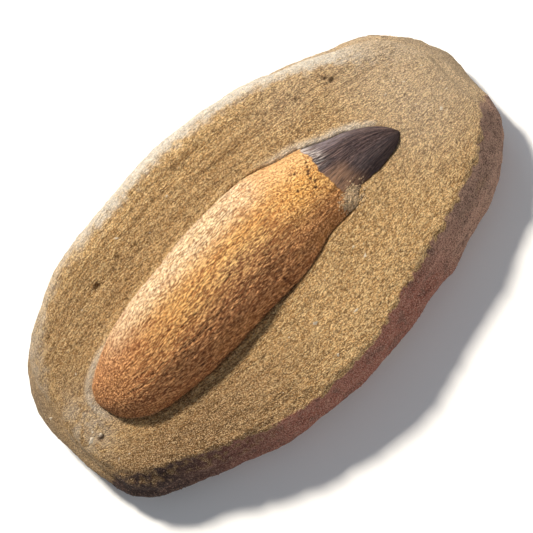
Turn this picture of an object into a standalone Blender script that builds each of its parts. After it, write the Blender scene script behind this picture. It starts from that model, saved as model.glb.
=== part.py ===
"""A fossil mosasaur tooth lying half buried in an oval block of its sandy matrix.

Two pieces: the tooth, which grew as one, its enamel crown on its bony root, and the matrix that holds it.
Metres, +Z up, +X along the tooth towards the tip of the crown. The footprint is centred on the origin
and the underside of the matrix lies at z = 0.
"""

import math

import bmesh
import bpy
from mathutils import Vector, noise

# Matrix: heights of the bed
BED_HEIGHT = 0.0183  # sand beside the root
BACK_RISE = 0.0052  # how far the bed rises to its high back rim
BACK_SLOPE = (0.012, 0.040)  # where across the block that rise starts and ends
FRONT_RISE = 0.0018  # how far it rises to its broken front edge
FRONT_SLOPE = (0.012, 0.042)
CROWN_END_RISE = 0.0025  # and from the root towards the crown's end
CROWN_END_SLOPE = (-0.026, 0.012)

# Matrix: rim, wall and foot
SOFT_RIM = 0.0070  # rounding of the weathered back rim
BROKEN_RIM = 0.0012  # rounding of the freshly broken front edge
RIM_CHANGE = (-0.012, 0.024)  # from broken to soft, going back
ROOT_END_SOFTENING = 0.012  # how much further forward the root's end is soft
CROWN_END_SOFTENING = 0.006
MIDDLE_INSET = 0.0018  # how far the wall leans in from its waist to its top edge, at mid length
ROOT_END_INSET = 0.0040  # and at the root's end
CROWN_END_INSET = 0.0050  # and at the crown's end
ROOT_END = (0.036, 0.062)  # where along the block its two ends begin to differ from the middle
CROWN_END = (0.004, 0.046)
LEAN_CURVE = 1.5  # how the lean grows from the waist up
FOOT_INSET = 0.0030  # how far the wall turns under, from its waist to its foot
FOOT_CURVE = 2.0
FOOT_ROUND = 0.0022
WAIST_SHARE = 0.55  # where on the wall the waist is, from the top edge down
SOCKET_GAP = 0.0003  # left free between the tooth and its socket

# The waist seen from above, anticlockwise from the crown's end
WAIST = (
    (0.0758, -0.0035),
    (0.0764, 0.0150),
    (0.0680, 0.0298),
    (0.0455, 0.0398),
    (0.0260, 0.0452),
    (-0.0060, 0.0452),
    (-0.0330, 0.0422),
    (-0.0586, 0.0346),
    (-0.0708, 0.0215),
    (-0.0738, 0.0065),
    (-0.0700, -0.0165),
    (-0.0622, -0.0276),
    (-0.0420, -0.0358),
    (-0.0220, -0.0420),
    (0.0010, -0.0432),
    (0.0225, -0.0396),
    (0.0450, -0.0342),
    (0.0625, -0.0268),
    (0.0740, -0.0155),
)

# Tooth, from the root's end to the tip: along, across, up, half width, half height
STATIONS = (
    (-0.0575, -0.0014, 0.0190, 0.0, 0.0),
    (-0.0552, -0.0024, 0.0193, 0.0058, 0.0047),
    (-0.0488, -0.0032, 0.0197, 0.0103, 0.0083),
    (-0.0400, -0.0026, 0.0200, 0.0133, 0.0106),
    (-0.0280, -0.0012, 0.0200, 0.0151, 0.0120),
    (-0.0120, 0.0008, 0.0194, 0.0157, 0.0124),
    (0.0040, 0.0020, 0.0184, 0.0163, 0.0127),
    (0.0140, 0.0027, 0.0180, 0.0155, 0.0121),
    (0.0210, 0.0023, 0.0180, 0.0133, 0.0106),
    (0.0285, 0.0020, 0.0184, 0.0116, 0.0093),
    (0.0350, 0.0018, 0.0191, 0.0088, 0.0073),
    (0.0405, 0.0012, 0.0198, 0.0073, 0.0061),
    (0.0455, -0.0001, 0.0205, 0.0052, 0.0046),
    (0.0490, -0.0012, 0.0209, 0.0031, 0.0028),
    (0.0513, -0.0022, 0.0211, 0.0, 0.0),
)
ENAMEL_LINE = 0.0290  # where along the tooth the crown begins
ENAMEL_STEP = 0.0003  # how far the root stands out over the enamel
ENAMEL_FADE = 0.0012
WRINKLE_DEPTH = 0.0005  # of the folds that run along the root
WRINKLE_LENGTH = 0.016
WRINKLE_PITCH = 0.0036
LUMP_DEPTH = 0.0005  # of the root's broad swellings
LUMP_SIZE = 0.013
CUTTING_EDGE = 0.05  # how far both cutting edges stand out, as a share of the crown's radius
CUTTING_EDGE_SHARPNESS = 10

# Sand heaped on the bed: along, across, reach, height
MOUNDS = (
    (0.0325, -0.0085, 0.0042, 0.0017),  # the clod stuck to the crown's base
    (0.0190, -0.0135, 0.0050, 0.0008),
    (-0.0630, -0.0010, 0.0060, 0.0009),
    (-0.0640, 0.0200, 0.0080, 0.0006),
    (0.0600, 0.0060, 0.0090, 0.0006),
    (0.0350, -0.0240, 0.0090, 0.0007),
    (-0.0260, -0.0330, 0.0080, 0.0006),
    (0.0050, 0.0330, 0.0100, 0.0005),
)
# Pits and chips out of the bed and its front edge: along, across, reach, depth
PITS = (
    (0.0470, 0.0220, 0.0030, 0.0008),
    (0.0650, 0.0160, 0.0028, 0.0008),
    (0.0590, 0.0110, 0.0024, 0.0006),
    (-0.0370, 0.0250, 0.0030, 0.0007),
    (-0.0520, -0.0300, 0.0052, 0.0016),
    (0.0160, -0.0410, 0.0060, 0.0017),
    (-0.0180, -0.0410, 0.0046, 0.0013),
    (0.0530, -0.0255, 0.0050, 0.0012),
    (0.0270, -0.0365, 0.0040, 0.0009),
    (-0.0660, -0.0185, 0.0040, 0.0011),
)
LIP_HEIGHT = 0.0009  # of the sand lip that follows the root's back and its end
LIP_WIDTH = 0.0024
LIP_START = (-0.004, 0.003)  # across the root, where the lip grows up
LIP_END = (0.016, 0.030)  # along the root, where it dies out
FURROW_DEPTH = 0.0003  # of the carving strokes behind the tooth
FURROW_PITCH = 0.0056
FURROW_SWAY = 0.0022
FURROW_SWAY_LENGTH = 0.019
CARVED_FROM = (0.016, 0.024)  # across the block, where the carving starts
CARVED_TO = (0.045, 0.062)  # along it, where the carving ends on either side
BED_ROUGHNESS = 0.0004
BED_GRAIN = 0.0065
WALL_ROUGHNESS = 0.0011
WALL_LUMP = 0.0125
LEDGE_DEPTH = 0.0007  # of the bedding steps in the wall
LEDGE_PITCH = 0.0062
LEDGE_WAVER = 4.0  # how far the bedding wanders up and down, in radians of its pitch
LEDGE_WAVER_SIZE = 0.030

# Facets
MATRIX_TURNS = 84
TOP_RINGS = 16
RIM_RINGS = 3
WALL_RINGS = 7
FOOT_RINGS = 2
TOOTH_TURNS = 42
TOOTH_RINGS = 44
TIP_CROWDING = 0.45  # how much closer the tooth's rings lie at both its ends
OUTLINE_STEPS = 24  # between two points of the waist, where it is measured


def clear_scene():
    for obj in list(bpy.data.objects):
        bpy.data.objects.remove(obj, do_unlink=True)


def ramp(value, low, high):
    """0 up to low, 1 from high on, and smooth between them."""
    t = min(max((value - low) / (high - low), 0.0), 1.0)
    return t * t * (3.0 - 2.0 * t)


def blend(a, b, share):
    return a + (b - a) * share


def through(points, place):
    """The smooth curve through rows of numbers, at a place counted in rows."""
    last = len(points) - 1
    row = min(int(place), last - 1)
    t = place - row
    p0, p1, p2, p3 = (points[min(max(row + k, 0), last)] for k in (-1, 0, 1, 2))
    return [
        0.5 * (2 * b + (c - a) * t + (2 * a - 5 * b + 4 * c - d) * t**2 + (3 * b - a - 3 * c + d) * t**3)
        for a, b, c, d in zip(p0, p1, p2, p3)
    ]


# Tooth


def tooth_station(place):
    """Centre and half axes of the tooth's section, at a share of its length counted in rows."""
    x, y, z, half_width, half_height = through(STATIONS, place * (len(STATIONS) - 1))
    return Vector((x, y, z)), max(half_width, 0.0), max(half_height, 0.0)


def ring_place(ring):
    even = ring / TOOTH_RINGS
    crowded = 0.5 - 0.5 * math.cos(math.pi * even)
    return blend(even, crowded, TIP_CROWDING)


def root_relief(x, side, up):
    """Folds along the root and its broad swellings, out from its plain form."""
    folds = noise.noise(Vector((x / WRINKLE_LENGTH, side / WRINKLE_PITCH, up / WRINKLE_PITCH)))
    lumps = noise.noise(Vector((x, side, up)) / LUMP_SIZE)
    return WRINKLE_DEPTH * folds + LUMP_DEPTH * lumps


def tooth_point(ring, turn):
    """A point of the tooth's surface, from its ring's number and its turn round the axis."""
    centre, half_width, half_height = tooth_station(ring_place(ring))
    angle = 2 * math.pi * turn
    across, up = math.cos(angle), math.sin(angle)
    crown = ramp(centre.x, ENAMEL_LINE - ENAMEL_FADE, ENAMEL_LINE + ENAMEL_FADE)
    edge = 1 + CUTTING_EDGE * crown * abs(across) ** CUTTING_EDGE_SHARPNESS
    fullness = min(half_height / WRINKLE_PITCH, 1.0)
    relief = ENAMEL_STEP + root_relief(centre.x, half_width * across, half_height * up)
    out = (1 - crown) * fullness * relief
    return centre + Vector((0, (half_width * edge + out) * across, (half_height + out) * up))


def shape_tooth(grown):
    """The tooth's mesh, its faces moved out by grown."""
    bm = bmesh.new()
    bmesh.ops.create_uvsphere(bm, u_segments=TOOTH_TURNS, v_segments=TOOTH_RINGS, radius=1.0)
    for vert in bm.verts:
        ring = round(math.acos(max(-1.0, min(1.0, -vert.co.z))) / math.pi * TOOTH_RINGS)
        turn = math.atan2(vert.co.y, vert.co.x) / (2 * math.pi)
        vert.co = tooth_point(ring, turn)
    bm.normal_update()
    moved = [(vert, vert.co + vert.normal * grown) for vert in bm.verts]
    for vert, place in moved:
        vert.co = place
    bmesh.ops.triangulate(bm, faces=bm.faces)
    return bm


# Matrix


def waist_points(count):
    """Points at even steps round the waist, with the direction that points out at each."""
    rows = WAIST[-1:] + WAIST + WAIST[:2]
    dense = [Vector(through(rows, 1 + k / OUTLINE_STEPS)) for k in range(len(WAIST) * OUTLINE_STEPS)]
    lengths = [0.0]
    for here, after in zip(dense, dense[1:] + dense[:1]):
        lengths.append(lengths[-1] + (after - here).length)
    points = []
    found = 0
    for k in range(count):
        wanted = lengths[-1] * k / count
        while lengths[found + 1] < wanted:
            found += 1
        share = (wanted - lengths[found]) / (lengths[found + 1] - lengths[found])
        points.append(dense[found].lerp(dense[(found + 1) % len(dense)], share))
    outs = []
    for before, after in zip(points[-1:] + points[:-1], points[1:] + points[:1]):
        along = (after - before).normalized()
        outs.append(Vector((along.y, -along.x)))
    return points, outs


def heap(table, x, y):
    """The sum of round heaps at a point of the bed, each fading out over its reach."""
    total = 0.0
    for along, across, reach, height in table:
        away = math.hypot(x - along, y - across) / reach
        total += height * math.exp(-away * away)
    return total


def beside_tooth(x, y):
    """How far a point of the bed lies outside the tooth's outline, and how far behind its axis."""
    along = min(max(x, STATIONS[1][0]), STATIONS[-2][0])
    row = next(k for k in range(1, len(STATIONS)) if STATIONS[k][0] >= along)
    before, after = STATIONS[row - 1], STATIONS[row]
    share = (along - before[0]) / (after[0] - before[0])
    centre = blend(before[1], after[1], share)
    half_width = blend(before[3], after[3], share)
    return math.hypot(x - along, y - centre) - half_width, y - centre


def lip(x, y):
    """Share of the sand lip's height at a point: highest against the root's back."""
    away, behind = beside_tooth(x, y)
    grown = ramp(behind, *LIP_START) * (1 - ramp(x, *LIP_END))
    return grown * math.exp(-((away / LIP_WIDTH) ** 2))


def furrow(x, y):
    """Share of the carving strokes' depth at a point, -1 to 1."""
    swayed = y + FURROW_SWAY * math.sin(x / FURROW_SWAY_LENGTH)
    carved = ramp(y, *CARVED_FROM) * (1 - ramp(abs(x), *CARVED_TO))
    return carved * math.sin(2 * math.pi * swayed / FURROW_PITCH)


def bed(x, y):
    """Height of the sand."""
    back = ramp(y, *BACK_SLOPE)
    height = BED_HEIGHT + BACK_RISE * back + FRONT_RISE * ramp(-y, *FRONT_SLOPE)
    height += CROWN_END_RISE * ramp(x, *CROWN_END_SLOPE) * (1 - 0.5 * back)
    height += LIP_HEIGHT * lip(x, y) + FURROW_DEPTH * furrow(x, y)
    height += heap(MOUNDS, x, y) - heap(PITS, x, y)
    return height + BED_ROUGHNESS * noise.noise(Vector((x, y, 0)) / BED_GRAIN)


def wall_relief(point, z):
    """Lumps and bedding steps of the wall, out from its plain form."""
    lumps = noise.noise(Vector((point.x, point.y, z)) / WALL_LUMP)
    waver = LEDGE_WAVER * noise.noise(Vector((point.x, point.y, 0)) / LEDGE_WAVER_SIZE)
    bedding = math.sin(2 * math.pi * z / LEDGE_PITCH + waver)
    return WALL_ROUGHNESS * lumps + LEDGE_DEPTH * bedding * abs(bedding)


def rim_and_lean(waist):
    """Rounding of the top edge and lean of the wall at a place round the waist."""
    root_end = ramp(-waist.x, *ROOT_END)
    crown_end = ramp(waist.x, *CROWN_END)
    softening = ROOT_END_SOFTENING * root_end + CROWN_END_SOFTENING * crown_end
    rim = blend(BROKEN_RIM, SOFT_RIM, ramp(waist.y + softening, *RIM_CHANGE))
    lean = blend(MIDDLE_INSET, CROWN_END_INSET, crown_end)
    return rim, blend(lean, ROOT_END_INSET, root_end)


def matrix_point(waist, out, ring):
    """A point of the matrix's surface, from its place round the waist and its ring's number."""
    rim, lean = rim_and_lean(waist)
    edge = waist - out * (lean + rim)
    if ring <= TOP_RINGS:
        place = edge * (ring / TOP_RINGS)
        return Vector((place.x, place.y, bed(place.x, place.y)))
    shoulder = bed(edge.x, edge.y) - rim
    ring -= TOP_RINGS
    if ring <= RIM_RINGS:
        bend = 0.5 * math.pi * ring / RIM_RINGS
        place = edge + out * (rim + wall_relief(waist, shoulder)) * math.sin(bend)
        return Vector((place.x, place.y, shoulder + rim * math.cos(bend)))
    ring -= RIM_RINGS
    if ring <= WALL_RINGS:
        down = ring / WALL_RINGS
        z = blend(shoulder, FOOT_ROUND, down)
        above = max(WAIST_SHARE - down, 0.0) / WAIST_SHARE
        below = max(down - WAIST_SHARE, 0.0) / (1 - WAIST_SHARE)
        inset = lean * above**LEAN_CURVE + FOOT_INSET * below**FOOT_CURVE
        place = waist - out * (inset - wall_relief(waist, z))
        return Vector((place.x, place.y, z))
    ring -= WALL_RINGS
    if ring <= FOOT_RINGS:
        bend = 0.5 * math.pi * ring / FOOT_RINGS
        turned = FOOT_INSET + FOOT_ROUND * (1 - math.cos(bend))
        place = waist - out * (turned - wall_relief(waist, FOOT_ROUND))
        return Vector((place.x, place.y, FOOT_ROUND * (1 - math.sin(bend))))
    return Vector((0, 0, 0))


def shape_matrix():
    rings = TOP_RINGS + RIM_RINGS + WALL_RINGS + FOOT_RINGS + 1
    points, outs = waist_points(MATRIX_TURNS)
    bm = bmesh.new()
    bmesh.ops.create_uvsphere(bm, u_segments=MATRIX_TURNS, v_segments=rings, radius=1.0)
    for vert in bm.verts:
        ring = round(math.acos(max(-1.0, min(1.0, vert.co.z))) / math.pi * rings)
        turn = round(math.atan2(vert.co.y, vert.co.x) / (2 * math.pi) * MATRIX_TURNS) % MATRIX_TURNS
        vert.co = matrix_point(points[turn], outs[turn], ring)
    bmesh.ops.triangulate(bm, faces=bm.faces)
    return bm


# Objects and materials


def new_material(name, colour, roughness):
    material = bpy.data.materials.new(name)
    material.use_nodes = True
    shader = material.node_tree.nodes["Principled BSDF"]
    shader.inputs["Base Color"].default_value = (*colour, 1.0)
    shader.inputs["Roughness"].default_value = roughness
    shader.inputs["Metallic"].default_value = 0.0
    return material


def new_collection(name):
    collection = bpy.data.collections.new(name)
    bpy.context.scene.collection.children.link(collection)
    return collection


def new_object(name, bm, collection):
    mesh = bpy.data.meshes.new(name)
    bm.to_mesh(mesh)
    bm.free()
    mesh.shade_smooth()
    obj = bpy.data.objects.new(name, mesh)
    collection.objects.link(obj)
    return obj


def make_tooth(collection):
    tooth = new_object("tooth", shape_tooth(0.0), collection)
    tooth.data.materials.append(new_material("root_bone", (0.50, 0.25, 0.09), 0.8))
    tooth.data.materials.append(new_material("enamel", (0.055, 0.045, 0.045), 0.35))
    for face in tooth.data.polygons:
        face.material_index = int(face.center.x > ENAMEL_LINE)
    return tooth


def make_matrix(collection, cutters):
    matrix = new_object("matrix", shape_matrix(), collection)
    matrix.data.materials.append(new_material("sandstone", (0.47, 0.33, 0.17), 0.95))
    socket = new_object("socket_cutter", shape_tooth(SOCKET_GAP), cutters)
    socket.hide_render = True
    socket.display_type = "WIRE"
    cut = matrix.modifiers.new("socket", "BOOLEAN")
    cut.operation = "DIFFERENCE"
    cut.solver = "EXACT"
    cut.object = socket
    return matrix


def centre_on_footprint(matrix, others):
    """Moves everything so that the matrix's footprint is centred on the origin."""
    xs = [vert.co.x for vert in matrix.data.vertices]
    ys = [vert.co.y for vert in matrix.data.vertices]
    shift = Vector(((min(xs) + max(xs)) / 2, (min(ys) + max(ys)) / 2, 0))
    for obj in (matrix, *others):
        obj.location = -shift


def main():
    clear_scene()
    fossil = new_collection("fossil_mosasaur_tooth")
    cutters = new_collection("cutters")
    tooth = make_tooth(fossil)
    matrix = make_matrix(fossil, cutters)
    centre_on_footprint(matrix, [tooth, *cutters.objects])


main()
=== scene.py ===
"""Looks of the fossil mosasaur tooth in its matrix.

The fine surfaces of tooth and matrix, the loose grains, their materials, the light and the camera. Metres,
in the frame's own axes: +X along the tooth to the crown's tip, +Y across to the high rim, +Z up.
"""

import math

import bmesh
import bpy
import numpy as np
from mathutils import Matrix, Vector
from mathutils.bvhtree import BVHTree


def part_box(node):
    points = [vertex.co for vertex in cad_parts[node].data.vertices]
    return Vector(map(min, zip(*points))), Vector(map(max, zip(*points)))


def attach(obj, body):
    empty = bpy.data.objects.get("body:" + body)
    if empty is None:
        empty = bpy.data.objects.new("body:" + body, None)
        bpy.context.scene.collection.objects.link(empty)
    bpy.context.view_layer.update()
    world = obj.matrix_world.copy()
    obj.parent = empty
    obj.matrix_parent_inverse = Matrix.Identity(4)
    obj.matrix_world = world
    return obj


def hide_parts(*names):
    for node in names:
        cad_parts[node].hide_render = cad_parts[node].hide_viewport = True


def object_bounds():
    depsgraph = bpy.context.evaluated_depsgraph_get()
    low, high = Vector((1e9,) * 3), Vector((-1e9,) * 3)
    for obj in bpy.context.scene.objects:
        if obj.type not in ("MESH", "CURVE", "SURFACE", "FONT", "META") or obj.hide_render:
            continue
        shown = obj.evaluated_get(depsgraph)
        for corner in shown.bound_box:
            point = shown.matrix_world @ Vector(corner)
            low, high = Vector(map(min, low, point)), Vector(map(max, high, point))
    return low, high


# Camera: where it looks, how far off, and how it is turned
LOOK_AT = Vector((-0.0013, -0.00296, 0.012))
DISTANCE = 0.450
ELEVATION = 67.0
ROLL = 42.0
SENSOR = 36.0
LENS = 112.0

# Stage
FLOOR_SIZE = 6.0
SKY_COLOUR, SKY_STRENGTH = (0.80, 0.88, 1.0), 0.22
# Lights: name, place, size, watts, colour. Each faces the origin.
LIGHTS = (
    ("sun", (-0.03, 0.55, 0.70), 0.12, 11.5, (1.0, 0.93, 0.82)),
    ("sky", (0.10, 0.80, 0.30), 0.60, 2.2, (0.80, 0.90, 1.0)),
    ("fill", (0.45, -0.75, 0.30), 0.60, 3.0, (1.0, 0.96, 0.92)),
)

# Tooth mesh
TOOTH_STATIONS = 400
STATION_CROWDING = 0.35  # how much closer together the stations are towards both ends
TOOTH_TURNS_SHOWN = 222
TOOTH_TURNS_HIDDEN = 16
HIDDEN_FROM, HIDDEN_TO = 196.0, 344.0  # the buried side, in degrees round from +Y over the top
READ_EVERY = 3.0  # degrees between the rays that read the tooth's radius
ROUND_SMOOTHING, LENGTH_SMOOTHING = 1.6, 3.4  # in readings round, and in stations
END_STATIONS = 4  # at each end, left as they were read
RELIEF_FADES_BELOW = 0.003  # radius under which the relief dies away towards the tooth's two points
ROOT_GIRTH = 0.0155  # metres round the root for each radian
NARROWEST_FIBRES = 0.65  # how far the root's fibres draw together at its ends
ENAMEL_START = 0.0857  # along the tooth from the root's end
ENAMEL_STEP = 0.00015  # how far the enamel lies below the root's granules

# Matrix mesh
MATRIX_VOXEL = 0.0005
MATRIX_SMOOTHING = 12
MERGE_DISTANCE = 1e-6
FLOW_LENGTH = 0.084  # the carving runs along curves that meet this far out along X
NEAR_TOOTH = 0.004  # distances to the tooth are read up to this
TOOTH_BOX_MARGIN = 0.002  # and only this close round the tooth's box
CLOSING_REACH = 0.0009  # sand nearer to the tooth than this closes on it
CLOSING_DEPTH = 0.00035  # and goes this far into it
FILLET = 0.00035  # how far the sand creeps up the tooth
SOCKET_TOP = 0.0155  # below this height the closed sand is hidden
UNDERSIDE_TOP = 0.0004  # and below this everything is
HIDDEN_SHARE = 0.06  # of the hidden faces, how many are kept

# Loose grains
GRAINS = 22400
GRAIN_LENGTH, LONGER_BY_UP_TO = 0.00034, 0.00042
CLOD_GRAINS = 2000
GRAIN_SEED = 11

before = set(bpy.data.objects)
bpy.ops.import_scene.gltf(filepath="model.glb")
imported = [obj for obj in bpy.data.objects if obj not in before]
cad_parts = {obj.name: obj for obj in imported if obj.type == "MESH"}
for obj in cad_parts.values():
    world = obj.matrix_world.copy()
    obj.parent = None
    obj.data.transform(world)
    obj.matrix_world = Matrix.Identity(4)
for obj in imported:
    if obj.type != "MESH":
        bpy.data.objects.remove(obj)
cad_low, cad_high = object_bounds()
tooth_low, tooth_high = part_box("tooth")
ROOT_END = tooth_low.x


# Noise


def hashed(ix, iy, iz, seed):
    """A fixed number from 0 to 1 for each cell of a lattice."""
    mixed = (ix * 374761393 + iy * 668265263 + iz * 1442695041 + seed * 974634777) & 0xFFFFFFFF
    mixed = ((mixed ^ (mixed >> 13)) * 1274126177) & 0xFFFFFFFF
    mixed = ((mixed ^ (mixed >> 15)) * 2246822519) & 0xFFFFFFFF
    return (mixed ^ (mixed >> 16)) / 0xFFFFFFFF


NOISE_GAIN = 1.9  # brings the soft noise to about -1 to 1
FARTHER_THAN_ANY_CELL = 9.0


def soft_noise(points, size, seed=0):
    """Smooth gradient noise of about -1 to 1, with features of this size along each axis."""
    scaled = points / np.asarray(size, float)
    cell = np.floor(scaled).astype(np.int64)
    inside = scaled - cell
    fade = inside**3 * (inside * (inside * 6 - 15) + 10)
    total = np.zeros(len(points))
    for corner in range(8):
        step = np.array([corner & 1, corner >> 1 & 1, corner >> 2 & 1])
        ix, iy, iz = (cell + step).T
        away = inside - step
        slope = [hashed(ix, iy, iz, seed * 7 + axis) * 2 - 1 for axis in range(3)]
        weight = np.prod(np.where(step, fade, 1 - fade), axis=1)
        total += weight * (slope[0] * away[:, 0] + slope[1] * away[:, 1] + slope[2] * away[:, 2])
    return total * NOISE_GAIN


def layered(points, size, seed=0, octaves=3, fall=0.5):
    """Soft noise with finer layers added, each half the size and weaker by fall."""
    total = np.zeros(len(points))
    for k in range(octaves):
        total += fall**k * soft_noise(points, np.asarray(size, float) / 2**k, seed + k)
    return total


def ramp(value, low, high):
    """0 up to low, 1 from high on, and smooth between them."""
    t = np.clip((value - low) / (high - low), 0.0, 1.0)
    return t * t * (3 - 2 * t)


def hill(value, middle, reach):
    """1 at the middle, fading out over the reach."""
    return np.exp(-(((value - middle) / reach) ** 2))


def zone(first, second, at, reach):
    """1 at a place given by two coordinates, fading out over its reach along each."""
    return np.exp(-(((first - at[0]) / reach[0]) ** 2) - ((second - at[1]) / reach[1]) ** 2)


def strongest(*shares):
    """The largest of the shares at each point."""
    return np.maximum.reduce(shares)


def pitted(points, spacing, share, radius, seed):
    """0 to 1: round pits strewn over the plan, one in some of the squares of this spacing."""
    plan = points[:, :2] / spacing
    cell = np.floor(plan).astype(np.int64)
    deep = np.zeros(len(points))
    for dx in (-1, 0, 1):
        for dy in (-1, 0, 1):
            ix, iy = (cell + (dx, dy)).T
            chances = [hashed(ix, iy, 0 * ix, seed + k) for k in range(4)]
            there = np.stack([ix + chances[0], iy + chances[1]], axis=1)
            size = radius / spacing * (0.5 + chances[2])
            away = np.linalg.norm(plan - there, axis=1) / size
            present = chances[3] < share
            deep = np.maximum(deep, present * (1 - ramp(away, 0.4, 1.0)))
    return deep


def cells(points, size, seed):
    """How far each point is from the seams between packed cells, and its own cell's number from 0 to 1."""
    scaled = points / np.asarray(size, float)
    cell = np.floor(scaled).astype(np.int64)
    first, second = np.full((2, len(points)), FARTHER_THAN_ANY_CELL)
    own = np.zeros(len(points))
    for corner in np.ndindex(3, 3, 3):
        step = np.array(corner) - 1
        ix, iy, iz = (cell + step).T
        there = cell + step + np.stack([hashed(ix, iy, iz, seed + axis) for axis in range(3)], axis=1)
        away = np.linalg.norm(scaled - there, axis=1)
        second = np.minimum(second, np.maximum(first, away))
        own = np.where(away < first, hashed(ix, iy, iz, seed + 3), own)
        first = np.minimum(first, away)
    return second - first, own


# Meshes


def vectors(items, name):
    """The vector of this name of each item, as rows."""
    found = np.empty(len(items) * 3)
    items.foreach_get(name, found)
    return found.reshape(-1, 3)


def coordinates(mesh):
    return vectors(mesh.vertices, "co")


def directions(mesh):
    return vectors(mesh.vertex_normals, "vector")


def put_coordinates(mesh, points):
    mesh.vertices.foreach_set("co", points.ravel())
    mesh.update()


def put_values(mesh, **fields):
    """Stores each field on the mesh, one number or one vector a vertex."""
    for name, values in fields.items():
        values = np.asarray(values, np.float32)
        vector = values.ndim == 2
        attribute = mesh.attributes.new(name, "FLOAT_VECTOR" if vector else "FLOAT", "POINT")
        attribute.data.foreach_set("vector" if vector else "value", values.ravel())


def tree_of(node):
    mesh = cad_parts[node].data
    return BVHTree.FromPolygons([v.co for v in mesh.vertices], [list(p.vertices) for p in mesh.polygons])


def new_object(name, data):
    obj = bpy.data.objects.new(name, data)
    bpy.context.scene.collection.objects.link(obj)
    return obj


def evaluated(helper):
    """The helper's mesh with its modifiers applied. The helper goes."""
    graph = bpy.context.evaluated_depsgraph_get()
    mesh = bpy.data.meshes.new_from_object(helper.evaluated_get(graph))
    bpy.data.objects.remove(helper)
    return mesh


def kept_in_box(points):
    """Points held inside the CAD model's box."""
    return np.clip(points, np.array(cad_low), np.array(cad_high))


def near_tooth(points):
    """The numbers of the points in the tooth's box or close round it."""
    low, high = np.array(tooth_low) - TOOTH_BOX_MARGIN, np.array(tooth_high) + TOOTH_BOX_MARGIN
    return np.flatnonzero(((points > low) & (points < high)).all(axis=1))


def distances(tree, points, chosen):
    """How far the chosen points are from a surface, and the farthest distance that is read for all others."""
    found = np.full(len(points), NEAR_TOOTH)
    for k in chosen:
        hit = tree.find_nearest(Vector(points[k]), NEAR_TOOTH)
        if hit[3] is not None:
            found[k] = hit[3]
    return found


def distances_to_tooth(points):
    return distances(tree_of("tooth"), points, near_tooth(points))


# Tooth


def reach(tree, start, direction):
    """How far it is to the surface that way, or 0 where there is none."""
    hit = tree.ray_cast(start, direction)
    return hit[3] if hit[3] is not None else 0.0


def axis_point(tree, x, guess):
    """The middle of the tooth's section at x."""
    centre = Vector((x, guess[1], guess[2]))
    for _ in range(2):
        for side in (Vector((0, 1, 0)), Vector((0, 0, 1))):
            centre += side * (reach(tree, centre, side) - reach(tree, centre, -side)) / 2
    return centre


def gauss(sigma):
    """Weights of a bell curve, and how many there are to each side of its middle."""
    wide = int(3 * sigma) + 1
    weights = np.exp(-0.5 * (np.arange(-wide, wide + 1) / sigma) ** 2)
    return weights / weights.sum(), wide


def smoothed_round(table, sigma):
    """Each row smoothed round the section."""
    weights, wide = gauss(sigma)
    return sum(w * np.roll(table, k - wide, axis=1) for k, w in enumerate(weights))


def smoothed_along(table, sigma):
    """Each column smoothed along the tooth."""
    weights, wide = gauss(sigma)
    padded = np.concatenate([table[:1]] * wide + [table] + [table[-1:]] * wide)
    return sum(w * padded[k : k + len(table)] for k, w in enumerate(weights))


def tooth_turns():
    """Angles round the tooth, close together where it shows."""
    shown = np.linspace(HIDDEN_TO - 360, HIDDEN_FROM, TOOTH_TURNS_SHOWN, endpoint=False)
    hidden = np.linspace(HIDDEN_FROM, HIDDEN_TO, TOOTH_TURNS_HIDDEN, endpoint=False)
    return np.radians(np.concatenate([shown, hidden]))


def tooth_form():
    """The tooth's axis and its radius round it, read from the frame and rounded off."""
    tree = tree_of("tooth")
    places = np.linspace(0, 1, TOOTH_STATIONS)
    eased = 0.5 - 0.5 * np.cos(math.pi * places)
    places = (1 - STATION_CROWDING) * places + STATION_CROWDING * eased
    xs = tooth_low.x + (tooth_high.x - tooth_low.x) * places
    corners = coordinates(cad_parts["tooth"].data)
    root_end = corners[corners[:, 0].argmin()]
    tip = corners[corners[:, 0].argmax()]
    rounds = np.radians(np.arange(0, 360, READ_EVERY))
    centres = np.zeros((TOOTH_STATIONS, 3))
    radii = np.zeros((TOOTH_STATIONS, len(rounds)))
    centres[0], centres[-1] = root_end, tip
    guess = Vector(root_end)
    for k in range(1, TOOTH_STATIONS - 1):
        if k < END_STATIONS:
            guess = Vector(root_end)
        if k > TOOTH_STATIONS - END_STATIONS:
            guess = Vector(tip)
        guess = axis_point(tree, xs[k], guess)
        centres[k] = guess
        for j, angle in enumerate(rounds):
            radii[k, j] = reach(tree, guess, Vector((0, math.cos(angle), math.sin(angle))))
    radii = smoothed_round(radii, ROUND_SMOOTHING)
    middle = slice(END_STATIONS, -END_STATIONS)
    radii[middle] = smoothed_along(radii, LENGTH_SMOOTHING)[middle]
    centres[middle] = smoothed_along(centres, LENGTH_SMOOTHING)[middle]
    turns = tooth_turns()
    fine = np.array([np.interp(turns, rounds, row, period=2 * math.pi) for row in radii])
    return centres, fine, turns


def enamel_line(degrees):
    """Where along the tooth the enamel begins, by the turn round it: further on at the front side."""
    return ENAMEL_START + 0.0018 * ramp(degrees, 105, 175) - 0.0010 * ramp(-degrees, 5, 60)


# Small pits where the root meets the crown: along the tooth, and turn
ROOT_PITS = (
    (0.0843, 66),
    (0.0838, 74),
    (0.0832, 80),
    (0.0826, 84),
    (0.0822, 92),
    (0.0829, 99),
    (0.0818, 108),
    (0.0800, 70),
    (0.0775, 96),
)


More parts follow.
